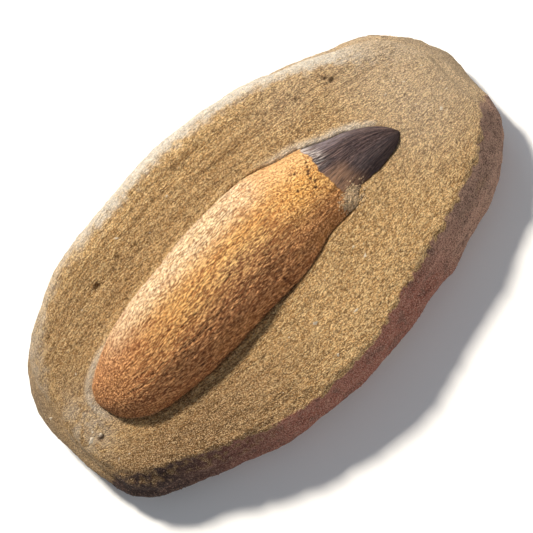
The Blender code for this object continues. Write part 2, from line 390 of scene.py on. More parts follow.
def root_fields(points, fibres, along, degrees, flow):
    """Height of the root's relief, and its tone from -1 in the crevices to 1 on the granules, which the
    material paints as shade and highlight.
    """
    jitter = 0.00030 * np.stack([soft_noise(points, 0.0011, 73 + axis) for axis in range(3)], axis=1)
    wavy = flow + 0.0006 * soft_noise(points, 0.0045, 71)[:, None] * (0, 1, 0)
    fine_end = ramp(along, 0.060, 0.078)  # towards the crown the bone is finer and rounder
    lower = ramp(degrees, 88, 135)  # and furrowed lengthwise lower down on the front side
    seam, own = cells(fibres + jitter, (0.00180, 0.00054, 0.00054), 11)
    long_granules = ramp(seam, 0.0, 0.42) * (0.30 + 0.70 * own)
    seam, own = cells(points + jitter, (0.00090, 0.00070, 0.00070), 15)
    round_granules = ramp(seam, 0.0, 0.45) * (0.35 + 0.65 * own)
    rounder = np.maximum(fine_end, 1 - ramp(along, 0.004, 0.018))
    granules = long_granules * (1 - rounder) + round_granules * rounder
    crumbs = soft_noise(points, 0.00080, 13)
    furrows = 1 - ramp(np.abs(layered(wavy, (0.0095, 0.0012, 1), 21, octaves=2, fall=0.6)), 0.0, 0.22)
    furrows *= (0.15 + 0.85 * lower) * (1 - fine_end) * ramp(along, 0.006, 0.022)
    folds = layered(wavy, (0.0070, 0.0019, 1), 25, octaves=2, fall=0.6) * ramp(along, 0.003, 0.014)
    pits = sum(zone(along, degrees, pit, (0.00040, 1.9)) for pit in ROOT_PITS)
    height = 0.00028 * (granules - 0.45) * (1 - 0.40 * fine_end - 0.30 * lower)
    height += (0.00010 + 0.00008 * lower) * folds - 0.00018 * furrows
    height += 0.00006 * crumbs + 0.00010 * soft_noise(points, 0.0050, 31)
    tone = 1.4 * (granules - 0.36) * (1 - 0.20 * lower) * (1 - 0.45 * fine_end)
    tone += 0.25 * folds + 0.35 * crumbs * (1 - 0.4 * fine_end) - 0.9 * furrows
    return height - 0.00045 * pits, np.clip(tone - 4.0 * pits, -1, 1)


def crown_fields(points, flow):
    """Height of the enamel's fine ridges, and the ridges from -1 to 1."""
    ridges = layered(flow, (0.020, 0.00105, 1), 51, octaves=2, fall=0.8)
    return 0.000045 * ridges + 0.00007 * soft_noise(points, 0.0060, 61), np.clip(ridges, -1, 1)


def tooth_fields(points, fibres, degrees, near_sand):
    """The tooth's relief, and all that its material reads."""
    along = points[:, 0] - ROOT_END
    flow = np.stack([points[:, 0], np.radians(degrees) * ROOT_GIRTH, 0 * along], axis=1)
    ragged = 0.0006 * soft_noise(points, 0.0035, 3) + 0.00030 * soft_noise(points, 0.0011, 4)
    past = along - enamel_line(degrees) - ragged
    enamel = ramp(past, -0.00015, 0.00030)
    root_height, root_tone = root_fields(points, fibres, along, degrees, flow)
    crown_height, crown_tone = crown_fields(points, flow)
    uneven = degrees + 7 * soft_noise(points, 0.0035, 81) + 5 * soft_noise(points, 0.0012, 82)
    film = (1 - ramp(uneven, 18, 32)) * (1 - ramp(along, 0.050, 0.068))
    cream = (1 - ramp(degrees, 50, 92)) * ramp(along, 0.005, 0.016) * (1 - 0.7 * ramp(along, 0.066, 0.074))
    red_end = 1.0 - ramp(along, 0.006, 0.026 + 0.014 * ramp(degrees, 60, 90))
    crept = 1 - ramp(near_sand + 0.0006 * soft_noise(points, 0.0015, 83), 0.0005, 0.0020)
    crept *= 1 - enamel
    film = np.maximum(film, 0.8 * crept * (1 - ramp(degrees, 60, 110) * ramp(along, 0.006, 0.016)))
    fields = {
        "flow": flow,
        "fibres": fibres,
        "enamel": enamel,
        "relief": root_tone * (1 - 0.35 * film) * (1 - enamel) + crown_tone * enamel,
        "worn": enamel * (1 - ramp(past, 0.0022, 0.0085)) * ramp(degrees, 88, 116),
        # painted highlight: a pale patch on the enamel's upper side near its base, standing in for the glint
        # there
        "painted_highlight": enamel * (1 - ramp(past, 0.0012, 0.0052)) * (1 - ramp(degrees, 66, 96)),
        # painted sheen: the crown's upper side, lit up blue-grey in place of the sky's reflection on it
        "painted_sheen": enamel * (1 - ramp(degrees, 38, 70)) * (1 - 0.7 * ramp(past, 0.006, 0.017)),
        "shadowy": enamel * ramp(degrees, 98, 128) * ramp(past, 0.0035, 0.0090),
        "sandy": film,
        "cream": cream,
        "russet": np.maximum(ramp(degrees, 100, 148), red_end),
        "salmon": zone(along, degrees, (0.0725, 46), (0.0080, 25)),
        "ochre": ramp(along, 0.064, 0.078),
        "grainy": np.maximum(1 - ramp(along, 0.006, 0.026), 0.8 * ramp(along, 0.058, 0.074)),
        "bruise": zone(along, degrees, (0.0560, 124), (0.0150, 17)),
        "ashen": zone(along, degrees, (0.0540, 108), (0.0085, 9)),
    }
    height = root_height * (1 - enamel) * (1 - 0.2 * film) + (crown_height - ENAMEL_STEP) * enamel
    return height, fields


def tube_faces(rings, count):
    """Faces of a tube of rings closed by a first and a last point."""
    here = np.arange(rings - 1)[:, None] * count + np.arange(count)[None] + 1
    after = np.arange(rings - 1)[:, None] * count + (np.arange(count)[None] + 1) % count + 1
    quads = np.stack([here, after, after + count, here + count], axis=-1).reshape(-1, 4)
    last = rings * count + 1
    top = 1 + (rings - 1) * count
    ends = [(0, (k + 1) % count + 1, k + 1) for k in range(count)]
    ends += [(last, top + k, top + (k + 1) % count) for k in range(count)]
    return [tuple(q) for q in quads.tolist()] + ends


def make_tooth():
    """The tooth's fine surface: a tube of rings round its axis, closed by a point at each end."""
    centres, radii, turns = tooth_form()
    stations, count = radii.shape
    out = np.stack([np.zeros(count), np.cos(turns), np.sin(turns)], axis=1)
    points = (centres[:, None, :] + radii[:, :, None] * out[None]).reshape(-1, 3)
    degrees = np.degrees(np.tile(turns, stations))
    near_sand = distances(tree_of("matrix"), points, range(len(points)))
    girth = radii.mean(axis=1)
    spread = np.maximum(girth / girth.max(), NARROWEST_FIBRES)
    fibres = (radii / spread[:, None])[:, :, None] * out[None] + centres[:, None, :] * (1, 0, 0)
    height, fields = tooth_fields(points, fibres.reshape(-1, 3), degrees, near_sand)
    fade = np.minimum(radii.ravel() / RELIEF_FADES_BELOW, 1.0)
    points = points + (height * fade)[:, None] * np.tile(out, (stations, 1))
    kept = np.concatenate([[0], np.arange(count, len(points) - count), [len(points) - 1]])
    points[0], points[-1] = centres[0], centres[-1]
    mesh = bpy.data.meshes.new("tooth_surface")
    mesh.from_pydata(kept_in_box(points[kept]).tolist(), [], tube_faces(stations - 2, count))
    put_values(mesh, **{name: values[kept] for name, values in fields.items()})
    mesh.shade_smooth()
    return new_object("tooth_surface", mesh)


# Matrix


def remeshed(node, voxel, smoothing):
    """A copy of a CAD node in even small quads, its facets rounded off."""
    bm = bmesh.new()
    bm.from_mesh(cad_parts[node].data)
    bmesh.ops.remove_doubles(bm, verts=bm.verts, dist=MERGE_DISTANCE)
    mesh = bpy.data.meshes.new(node + "_copy")
    bm.to_mesh(mesh)
    bm.free()
    helper = new_object(node + "_copy", mesh)
    remesh = helper.modifiers.new("even", "REMESH")
    remesh.mode = "VOXEL"
    remesh.voxel_size = voxel
    soften = helper.modifiers.new("soften", "SMOOTH")
    soften.factor = 0.5
    soften.iterations = smoothing
    fine = evaluated(helper)
    bpy.data.meshes.remove(mesh)
    return fine


def thinned(mesh, hidden):
    """A copy of the mesh with far fewer faces where it is hidden."""
    helper = new_object("thinned", mesh)
    helper.vertex_groups.new(name="hidden").add(np.flatnonzero(hidden).tolist(), 1.0, "REPLACE")
    shown = 1 - np.mean(hidden)
    thin = helper.modifiers.new("thin", "DECIMATE")
    thin.vertex_group = "hidden"
    thin.ratio = shown + HIDDEN_SHARE * (1 - shown)
    return evaluated(helper)


def flow_of(points):
    """Coordinates that follow the carving: along it, across it, and up."""
    x, y, z = points.T
    return np.stack([x, y / np.sqrt(1 - (x / FLOW_LENGTH) ** 2), z], axis=1)


# Sharp pits in the sand: along, across, radius, depth
SAND_PITS = (
    (0.0447, 0.0225, 0.0008, 0.0006),
    (0.0457, 0.0211, 0.0010, 0.0008),
    (0.0570, 0.0112, 0.0010, 0.0006),
    (0.0629, 0.0156, 0.0009, 0.0005),
    (-0.0393, 0.0229, 0.0011, 0.0008),
    (-0.0237, 0.0240, 0.0008, 0.0005),
    (-0.0297, 0.0247, 0.0009, 0.0006),
    (-0.0209, 0.0217, 0.0008, 0.0005),
    (-0.0189, 0.0237, 0.0007, 0.0005),
    (-0.0356, 0.0150, 0.0007, 0.0005),
    (0.0349, 0.0234, 0.0008, 0.0005),
    (0.0362, 0.0260, 0.0007, 0.0004),
    (0.0536, 0.0259, 0.0008, 0.0004),
    (0.0299, 0.0250, 0.0007, 0.0004),
    (-0.0502, 0.0182, 0.0008, 0.0005),
    (-0.0645, -0.0106, 0.0013, 0.0010),
    (-0.0286, -0.0296, 0.0008, 0.0004),
    (-0.0190, -0.0308, 0.0008, 0.0004),
    (0.0145, 0.0249, 0.0007, 0.0004),
)


def bed_relief(points, flow):
    """Height of the sand's relief, and how proud or sunk each point is, which the material paints as
    highlight where proud and as shade in its pits and furrows.
    """
    x, y, _ = points.T
    clumps = layered(points, 0.0050, 101, octaves=2)
    streaks = soft_noise(flow, (0.0022, 0.00105, 0.00105), 111)
    fine = soft_noise(flow, (0.0015, 0.00080, 0.00080), 113)
    strokes = layered(flow, (0.0180, 0.0018, 0.0100), 121, octaves=2, fall=0.6)
    carved = np.maximum(ramp(y, 0.008, 0.018), ramp(-y, 0.018, 0.026) * (1 - ramp(x, 0.0, 0.025)))
    carved *= 1 - ramp(np.abs(x), 0.055, 0.072)
    pits = pitted(points, 0.0058, 0.22, 0.0007, 141)
    placed = np.zeros(len(points))
    for along, across, radius, depth in SAND_PITS:
        placed += depth * (1 - ramp(np.hypot((x - along) * 0.8, y - across) / radius, 0.3, 1.0))
    scoops = layered(flow, (0.0320, 0.0046, 0.0200), 125, octaves=2, fall=0.6)
    height = 0.00007 * clumps + 0.00003 * streaks + 0.00003 * fine
    height += 0.00028 * scoops * (0.35 + 0.65 * carved)
    height += 0.00020 * strokes * (0.30 + 0.70 * carved) - 0.00020 * pits - placed
    tone = 0.15 * streaks + 0.15 * fine + 0.08 * clumps - 0.9 * pits - placed / 0.0005
    tone -= 0.45 * ramp(-strokes, 0.15, 0.9) * (0.2 + 0.8 * carved)
    return height, tone


def wall_relief(points):
    """Height of the walls' broken relief, and how proud or sunk each point is, which the material paints as
    highlight where proud and as shade where sunk.
    """
    broken = layered(points, 0.0065, 131, octaves=3, fall=0.5)
    crumbs = np.abs(layered(points, 0.0021, 135, octaves=2, fall=0.6))
    return 0.00024 * broken + 0.00016 * (0.5 - crumbs), 0.8 * (0.45 - crumbs)


# The broken front wall: place along the block, how far to the front it starts, and its upper edge's height
FRONT_WALL = (
    (-0.0740, 0.0175, 0.0172),
    (-0.0660, 0.0180, 0.0172),
    (-0.0600, 0.0235, 0.0183),
    (-0.0500, 0.0290, 0.0187),
    (-0.0400, 0.0325, 0.0194),
    (-0.0300, 0.0360, 0.0200),
    (-0.0100, 0.0400, 0.0208),
    (0.0100, 0.0395, 0.0217),
    (0.0200, 0.0355, 0.0215),
    (0.0400, 0.0290, 0.0217),
    (0.0600, 0.0190, 0.0208),
    (0.0720, 0.0080, 0.0205),
)


def front_wall(points, rough):
    """Where the front wall is, where it is broken open, and how near its upper edge is."""
    x, y, z = points.T
    stations, starts, edges = np.array(FRONT_WALL).T
    start = np.interp(x, stations, starts)
    below = np.interp(x, stations, edges) - z
    wander = 0.0045 * soft_noise(points, 0.0070, 157) * (1 - ramp(z, 0.012, 0.019))
    wander *= ramp(np.abs(x), 0.045, 0.062)
    front = ramp(-y + 0.0022 * rough + wander, start + 0.0008, start + 0.0017)
    broken = ramp(below + 0.0026 * rough, 0.0005, 0.0011)
    brink = hill(below, 0.0, 0.0025) * ramp(-y - start, -0.0025, -0.0005)
    return front, broken, brink


RIM_LENGTH, RIM_WIDTH = 0.0755, 0.0445  # halves of the oval that the dusty rim follows


def dusty_rim(points, rough, top):
    """The pale dusty rim along the block's back edge and round to its ends."""
    x, y, _ = points.T
    oval = np.hypot(x / RIM_LENGTH, y / RIM_WIDTH)
    inner = 0.79 + 0.11 * ramp(-x, 0.020, 0.050)
    rim = ramp(oval + 0.06 * rough, inner, inner + 0.11) * ramp(y, -0.010, 0.016) * (0.3 + 0.7 * top)
    return rim * (1 - 0.7 * ramp(x, 0.046, 0.062))


def matrix_fields(points, normals, away):
    """The matrix's relief, and all that its material reads; away is the distance to the tooth."""
    x, y, z = points.T
    rough = soft_noise(points, 0.0030, 151) * 0.5 + soft_noise(points, 0.0012, 152) * 0.35
    facing = np.array(normals[:, 2])
    top = ramp(facing, 0.35, 0.72) * ramp(z, 0.0135, 0.0160)
    under = ramp(-facing, 0.6, 0.9) * (1 - ramp(z, 0.0008, 0.002))
    flow = flow_of(points)
    bed_height, bed_tone = bed_relief(points, flow)
    wall_height, wall_tone = wall_relief(points)
    front, broken, brink = front_wall(points, rough)
    rim = dusty_rim(points, rough, top)
    lip = hill(away, 0.0014, 0.0012) * ramp(-x, 0.043, 0.055) * ramp(y, -0.012, -0.004)
    height = top * bed_height + (1 - top) * (1 - under) * ramp(z, 0.0, 0.007) * wall_height
    height += 0.00065 * lip
    height += 0.00045 * brink * layered(points, 0.0028, 159, octaves=2, fall=0.6)
    crumbs = ramp(soft_noise(points, 0.0016, 153), -0.05, 0.35)
    crumbs *= ramp(-x, 0.020, 0.045) * ramp(z, 0.0125, 0.0155)
    lump = zone(x, y, (-0.0655, -0.0050), (0.0065, 0.0085)) * ramp(rough, -0.5, 0.3)
    # beside: the strip of sand along the crown's upper side, painted pale as light
    beside = hill(away + 0.0008 * rough, 0.0, 0.0017) * ramp(x, 0.012, 0.024) * ramp(y, 0.001, 0.005)
    fields = {
        "flow": flow,
        "relief": np.clip(top * bed_tone + (1 - top) * wall_tone, -1, 1),
        "stone": front * broken * (1 - 0.7 * crumbs) * (1 - ramp(facing, 0.70, 0.92)),
        "lower": (1 - ramp(z + 0.003 * rough, 0.004, 0.014)) * (1 - top),
        "dust_and_painted_light": strongest(
            rim * (1 - 0.6 * ramp(-x, 0.020, 0.045)),
            0.55 * lip,
            0.40 * lump,
            0.22 * ramp(x, 0.030, 0.060) * ramp(y, -0.030, 0.0),
            # painted light: this share makes the strip beside the crown's upper side pale
            0.75 * beside,
            0.12 * zone(x, y, (0.036, 0.026), (0.014, 0.008)),
        ),
        "grey": strongest(
            0.75 * lip,
            lump,
            0.6 * ramp(-x, 0.070, 0.076) * (1 - front),
            0.6 * rim * ramp(-x, 0.028, 0.050),
        ),
        # painted shade: darkens the sand where its slopes turn away from the light, at the front left, at the
        # left end, beside the root's end and in the band just behind the tooth
        "painted_shade": strongest(
            ramp(-y - 0.12 * x, 0.018, 0.032) * (1 - ramp(x, -0.040, 0.005)),
            0.25 * ramp(-x, 0.052, 0.066),
            0.55 * zone(x, y, (-0.0610, 0.0070), (0.0075, 0.0085)),
            0.22 * ramp(y, 0.008, 0.014) * (1 - ramp(y, 0.022, 0.031)) * (1 - ramp(x, 0.010, 0.035)),
        ),
        "tone": np.full(len(points), 0.5),
    }
    return height, fields


def bulges(points):
    """Two small bulges of the block's edge: at its back, and at the crown's end."""
    x, y, _ = points.T
    back = 0.0013 * hill(x, -0.0215, 0.0110) * ramp(y, 0.028, 0.038)
    end = 0.0008 * hill(y, -0.0057, 0.0080) * ramp(x, 0.060, 0.071)
    return np.stack([end, back, 0 * x], axis=1)


def closed_on_tooth(points, tree):
    """Points near the tooth moved just into it, so that no gap shows round it. Also how close each was."""
    close = np.full(len(points), NEAR_TOOTH)
    for k in near_tooth(points):
        place, normal, _, away = tree.find_nearest(Vector(points[k]), NEAR_TOOTH)
        if place is None:
            continue
        close[k] = away
        if away < CLOSING_REACH:
            points[k] = place - normal * CLOSING_DEPTH
    return points, close


def make_matrix():
    """The block's fine surface: the remeshed solid, closed on the tooth, with its relief."""
    mesh = remeshed("matrix", MATRIX_VOXEL, MATRIX_SMOOTHING)
    points, close = closed_on_tooth(coordinates(mesh), tree_of("tooth"))
    in_socket = (close < CLOSING_REACH) & (points[:, 2] < SOCKET_TOP)
    underside = points[:, 2] < UNDERSIDE_TOP
    put_coordinates(mesh, points)
    mesh = thinned(mesh, underside | in_socket)
    points, normals = coordinates(mesh), directions(mesh)
    away = distances_to_tooth(points)
    height, fields = matrix_fields(points, normals, away)
    points = points + (height * ramp(away, 0.0003, 0.0012))[:, None] * normals + bulges(points)
    creep = FILLET * (1 + 1.2 * ramp(points[:, 1], 0.0, 0.006)) * (1 - ramp(away, 0.0006, 0.0020))
    points[:, 2] += creep * ramp(points[:, 2], 0.0150, 0.0165)
    put_coordinates(mesh, kept_in_box(points))
    put_values(mesh, **fields)
    mesh.shade_smooth()
    return new_object("matrix_surface", mesh)


# Sand grains

GRAIN = np.array([(1, 0, 0), (-1, 0, 0), (0, 1, 0), (0, -1, 0), (0, 0, 1), (0, 0, -1)], float)
GRAIN_FACES = np.array(
    [(0, 2, 4), (2, 1, 4), (1, 3, 4), (3, 0, 4), (2, 0, 5), (1, 2, 5), (3, 1, 5), (0, 3, 5)]
)
GRAIN_SUNK = 0.35  # how far below the surface a grain's middle lies, by its half height
WALL_CROWDING = 0.45  # grains on the walls for each one on the same area of the top

CRUMB_SCALE = 1.5  # the clod's crumbs by the size of the loose grains
HIGHEST_TONE = 0.985  # of the sand grains; only the chips' is above it

# Pale angular chips lying on the sand: along, across, length
CHIPS = (
    (-0.0270, 0.0290, 0.0017),
    (-0.0087, 0.0278, 0.0017),
    (-0.0189, 0.0241, 0.0012),
    (0.0402, 0.0299, 0.0018),
    (0.0489, 0.0246, 0.0013),
    (0.0571, 0.0088, 0.0016),
    (0.0533, 0.0074, 0.0013),
    (0.0593, 0.0062, 0.0020),
    (0.0660, 0.0068, 0.0012),
    (0.0663, -0.0034, 0.0012),
    (0.0573, -0.0006, 0.0013),
    (0.0615, -0.0066, 0.0016),
    (-0.0466, 0.0206, 0.0013),
    (-0.0618, 0.0212, 0.0013),
    (-0.0593, 0.0085, 0.0016),
    (-0.0732, 0.0070, 0.0017),
    (-0.0665, -0.0091, 0.0031),
    (-0.0640, -0.0096, 0.0027),
    (-0.0652, -0.0076, 0.0016),
    (-0.0643, -0.0183, 0.0016),
    (-0.0612, -0.0190, 0.0014),
    (-0.0018, -0.0277, 0.0025),
    (-0.0094, -0.0258, 0.0016),
    (0.0082, -0.0332, 0.0021),
    (-0.0028, -0.0390, 0.0016),
    (0.0191, -0.0194, 0.0014),
    (0.0200, -0.0231, 0.0014),
    (0.0076, -0.0205, 0.0012),
)
# The clod on the crown's base: along the tooth, and turn; and on the sand beside it, along and across
CLOD_AT, CLOD_REACH = (0.0872, 164), (0.0028, 16)
CLOD_BESIDE, CLOD_SPREAD = (0.0272, -0.0094), (0.0036, 0.0020)
CLOD_HEIGHT = 0.0012


def strewn(matrix, rng):
    """Places and directions for the grains on the matrix, crowded where it meets the tooth."""
    faces = matrix.data.polygons
    centres, normals = vectors(faces, "center"), vectors(faces, "normal")
    areas = np.empty(len(faces))
    faces.foreach_get("area", areas)
    top = ramp(normals[:, 2], 0.2, 0.7) * ramp(centres[:, 2], 0.010, 0.0165)
    weight = areas * (WALL_CROWDING + (1 - WALL_CROWDING) * top)
    weight *= (areas < 4 * MATRIX_VOXEL**2) * ramp(centres[:, 2], 0.0005, 0.0030)
    beside = 1 - ramp(distances_to_tooth(centres), 0.0008, 0.0022)
    weight *= (1 + 0.8 * beside) * (beside < 0.999)
    chosen = rng.choice(len(centres), GRAINS, replace=False, p=weight / weight.sum())
    return centres[chosen], normals[chosen]


def heaped(tooth, matrix, rng):
    """Places and directions for the crumbs stuck on the lower side of the crown's base."""
    points, normals = coordinates(tooth.data), directions(tooth.data)
    degrees = np.degrees(vectors(tooth.data.attributes["flow"].data, "vector")[:, 1] / ROOT_GIRTH)
    share = zone(points[:, 0] - ROOT_END, degrees, CLOD_AT, CLOD_REACH)
    beside, upward = coordinates(matrix.data), directions(matrix.data)
    on_sand = zone(beside[:, 0], beside[:, 1], CLOD_BESIDE, CLOD_SPREAD) * (upward[:, 2] > 0.3)
    points, normals = np.concatenate([points, beside]), np.concatenate([normals, upward])
    share = np.concatenate([share, on_sand * (beside[:, 2] > 0.016)]) ** 1.5
    chosen = rng.choice(len(points), CLOD_GRAINS, p=share / share.sum())
    lift = CLOD_HEIGHT * share[chosen] * rng.random(CLOD_GRAINS)
    return points[chosen] + normals[chosen] * lift[:, None], normals[chosen]


def chip_spots(matrix):
    """Places and directions of the pale chips, on the sand's surface."""
    points, normals = coordinates(matrix.data), directions(matrix.data)
    upward = normals[:, 2] > 0.5
    points, normals = points[upward], normals[upward]
    spots = [np.hypot(*(points[:, :2] - chip[:2]).T).argmin() for chip in CHIPS]
    return points[spots], normals[spots]


def make_grains(matrix, tooth):
    """Loose and half-sunk sand grains, the crumbs on the crown's base and the pale chips, in one mesh."""
    rng = np.random.default_rng(GRAIN_SEED)
    spots = (strewn(matrix, rng), heaped(tooth, matrix, rng), chip_spots(matrix))
    places, ups = (np.concatenate([spot[k] for spot in spots]) for k in (0, 1))
    count = len(places)
    chips, crumbs = slice(count - len(CHIPS), count), slice(GRAINS, GRAINS + CLOD_GRAINS)
    lengths = GRAIN_LENGTH + LONGER_BY_UP_TO * rng.random(count) ** 2
    lengths[chips] = [chip[2] for chip in CHIPS]
    lengths[crumbs] *= CRUMB_SCALE
    tones = HIGHEST_TONE * rng.random(count)
    # partly painted light: the clod's crumbs are given paler tones to lift them out of the tooth's shade
    tones[crumbs] = 0.52 + 0.45 * tones[crumbs]
    tones[chips] = 1.0
    middles, points = grain_shapes(places, ups, lengths, rng)
    faces = (np.arange(count)[:, None, None] * len(GRAIN) + GRAIN_FACES[None]).reshape(-1, 3)
    mesh = bpy.data.meshes.new("sand_grains")
    mesh.from_pydata(kept_in_box(points).tolist(), [], faces.tolist())
    _, fields = matrix_fields(middles, ups, distances_to_tooth(middles))
    fields["tone"], fields["relief"] = tones, np.full(count, 0.2)
    # the crumbs' dust share is partly painted light as well
    fields["stone"][crumbs], fields["lower"][crumbs], fields["dust_and_painted_light"][crumbs] = 0.0, 0.0, 0.25
    put_values(mesh, **{name: np.repeat(values, len(GRAIN), axis=0) for name, values in fields.items()})
    return new_object("sand_grains", mesh)


def grain_shapes(places, ups, lengths, rng):
    """Each grain's middle and corners: long roughly along the block, and sunk a little into the surface."""
    count = len(places)
    widths, heights = lengths * rng.uniform(0.5, 0.8, count), lengths * rng.uniform(0.45, 0.7, count)
    sizes = np.stack([lengths, widths, heights]) / 2
    angles = rng.normal(0.0, 0.45, count)
    flat = np.stack([np.cos(angles), np.sin(angles), 0 * angles], axis=1)
    along = flat - ups * np.sum(flat * ups, axis=1)[:, None]
    along /= np.linalg.norm(along, axis=1)[:, None]
    across = np.cross(ups, along)
    middles = places - ups * (GRAIN_SUNK * sizes[2])[:, None]
    shapes = GRAIN[None] + rng.uniform(-0.35, 0.35, (count, len(GRAIN), 3))
    corners = middles[:, None] + sum(
        shapes[:, :, axis : axis + 1] * (size[:, None] * way)[:, None]
        for axis, (size, way) in enumerate(zip(sizes, (along, across, ups)))
    )
    return middles, corners.reshape(-1, 3)


# Materials


class Nodes:
    """A material's node tree, built by short calls. A socket goes in wherever a number does."""

    def __init__(self, name):
        self.material = bpy.data.materials.new(name)
        self.material.use_nodes = True
        self.tree = self.material.node_tree
        self.shader = self.tree.nodes["Principled BSDF"]
        self.place = self.new("ShaderNodeTexCoord").outputs["Object"]

    def new(self, kind):
        return self.tree.nodes.new(kind)

    def put(self, socket, value):
        if isinstance(value, bpy.types.NodeSocket):
            self.tree.links.new(value, socket)
        elif isinstance(value, tuple) and socket.type == "RGBA":
            socket.default_value = (*value, 1.0)
        else:
            socket.default_value = value

    def fill(self, node, inputs):
        """Puts these values or sockets on the node's inputs, by their names or numbers."""
        for key, value in inputs.items():
            self.put(node.inputs[key], value)
        return node

    def math(self, operation, a, b=0.0):
        node = self.fill(self.new("ShaderNodeMath"), {0: a, 1: b})
        node.operation = operation
        return node.outputs[0]

    def times(self, a, b):
        return self.math("MULTIPLY", a, b)

    def fit(self, value, low, high, to_low=0.0, to_high=1.0):
        """Goes smoothly from to_low to to_high as the value goes from low to high."""
        node = self.new("ShaderNodeMapRange")
        node.interpolation_type = "SMOOTHSTEP"
        return self.fill(node, {0: value, 1: low, 2: high, 3: to_low, 4: to_high}).outputs[0]

    def between(self, share, a, b):
        """A number that goes from a to b with the share."""
        return self.fill(self.new("ShaderNodeMix"), {0: share, 2: a, 3: b}).outputs[0]

    def mix(self, share, a, b, blend="MIX"):
        """The colour a with this share of b in it."""
        node = self.new("ShaderNodeMix")
        node.data_type = "RGBA"
        node.blend_type = blend
        return self.fill(node, {"Factor": share, 6: a, 7: b}).outputs[2]

    def tint(self, colour, other, value, low, high, most=1.0, where=None):
        """The colour with up to this much of another in it, as the value goes from low to high."""
        share = self.fit(value, low, high, 0.0, most)
        return self.mix(share if where is None else self.times(where, share), colour, other)

    def wash(self, colour, other, field, share):
        """The colour with this share of another where the mesh's field is 1."""
        return self.mix(self.times(self.value(field), share), colour, other)

    def noise(self, size, detail=2.0, rough=0.5, place=None, offset=0.0):
        """Noise with features of about this size in metres; a tuple stretches it along the axes."""
        vector = self.scaled(place or self.place, size, offset)
        inputs = {"Vector": vector, "Scale": 1.0, "Detail": detail, "Roughness": rough}
        return self.fill(self.new("ShaderNodeTexNoise"), inputs).outputs["Fac"]

    def cells(self, size, place=None, offset=0.0):
        """Distance to the middle of the nearest packed cell, and the cell's own number from 0 to 1."""
        inputs = {"Vector": self.scaled(place or self.place, size, offset), "Scale": 1.0}
        node = self.fill(self.new("ShaderNodeTexVoronoi"), inputs)
        own = self.fill(self.new("ShaderNodeSeparateColor"), {0: node.outputs["Color"]})
        return node.outputs["Distance"], own.outputs[0]

    def scaled(self, place, size, offset):
        scale = [1 / s for s in size] if isinstance(size, tuple) else [1 / size] * 3
        inputs = {"Vector": place, "Scale": scale, "Location": (offset, offset * 1.7, offset * 0.6)}
        return self.fill(self.new("ShaderNodeMapping"), inputs).outputs[0]

    def value(self, name, output="Fac"):
        """What the mesh keeps under this name."""
        node = self.new("ShaderNodeAttribute")
        node.attribute_name = name
        return node.outputs[output]

    def vector(self, name):
        return self.value(name, "Vector")

    def bump(self, height, distance):
        inputs = {"Strength": 1.0, "Distance": distance, "Height": height}
        return self.fill(self.new("ShaderNodeBump"), inputs).outputs[0]

    def finished(self, colour, roughness, specular, normal):
        """The material, with all these on its shader."""
        inputs = {"Base Color": colour, "Roughness": roughness, "Specular IOR Level": specular}
        self.fill(self.shader, inputs | {"Normal": normal})
        return self.material


def stone_colour(n, fine, tone):
    """The broken inside of the stone, from near black at the root's end to tan at the crown's. The near black
    is partly painted shade, and its red, strongest low down, is partly a painted reflection of red light from
    below.
    """
    place = n.fill(n.new("ShaderNodeSeparateXYZ"), {0: n.place})
    along, height = place.outputs[0], place.outputs[2]
    broad = n.noise(0.016, 3, 0.55, offset=4.4)
    grit = n.noise(0.00062, 2, 0.65, offset=6.1)
    mottle = n.noise(0.0036, 3, 0.6, offset=9.2)
    shifted = n.math("ADD", along, n.times(broad, 0.03))
    # partly painted shade: the stone goes near black towards the root's end
    stone = n.mix(n.fit(shifted, -0.045, -0.005), (0.03, 0.018, 0.017), (0.36, 0.12, 0.08))
    stone = n.tint(stone, (0.43, 0.27, 0.19), shifted, 0.035, 0.07)
    # painted reflection: the wall redder towards its bottom, standing in for red light thrown up from below
    painted_red_bounce = n.times(n.fit(height, 0.009, 0.002, 0.0, 0.6), n.fit(shifted, -0.04, -0.01))
    stone = n.mix(painted_red_bounce, stone, (0.27, 0.075, 0.055))
    stone = n.tint(stone, (0.15, 0.082, 0.062), mottle, 0.50, 0.64, 0.60)
    not_black = n.fit(shifted, -0.045, -0.005)
    stone = n.tint(stone, (0.50, 0.25, 0.18), mottle, 0.46, 0.34, 0.40, where=not_black)
    stone = n.tint(stone, (0.075, 0.04, 0.032), grit, 0.46, 0.36, 0.55)
    stone = n.tint(stone, (0.50, 0.31, 0.22), grit, 0.54, 0.64, 0.45)
    stone = n.tint(stone, (0.50, 0.36, 0.25), tone, 0.70, 0.95, 0.40)
    stone = n.tint(stone, (0.085, 0.046, 0.036), fine, 0.53, 0.62, 0.75)
    not_black = n.fit(shifted, -0.05, -0.005, 0.2, 1.0)
    return n.tint(stone, (0.62, 0.38, 0.28), fine, 0.47, 0.38, 0.75, where=not_black)


DUST_AND_PAINTED_LIGHT = (0.88, 0.825, 0.735)
# SAND_SEAM: painted shade for the seams between the grains, and the dark of some specks
SAND_SEAM = (0.12, 0.066, 0.028)  # the dark between the grains


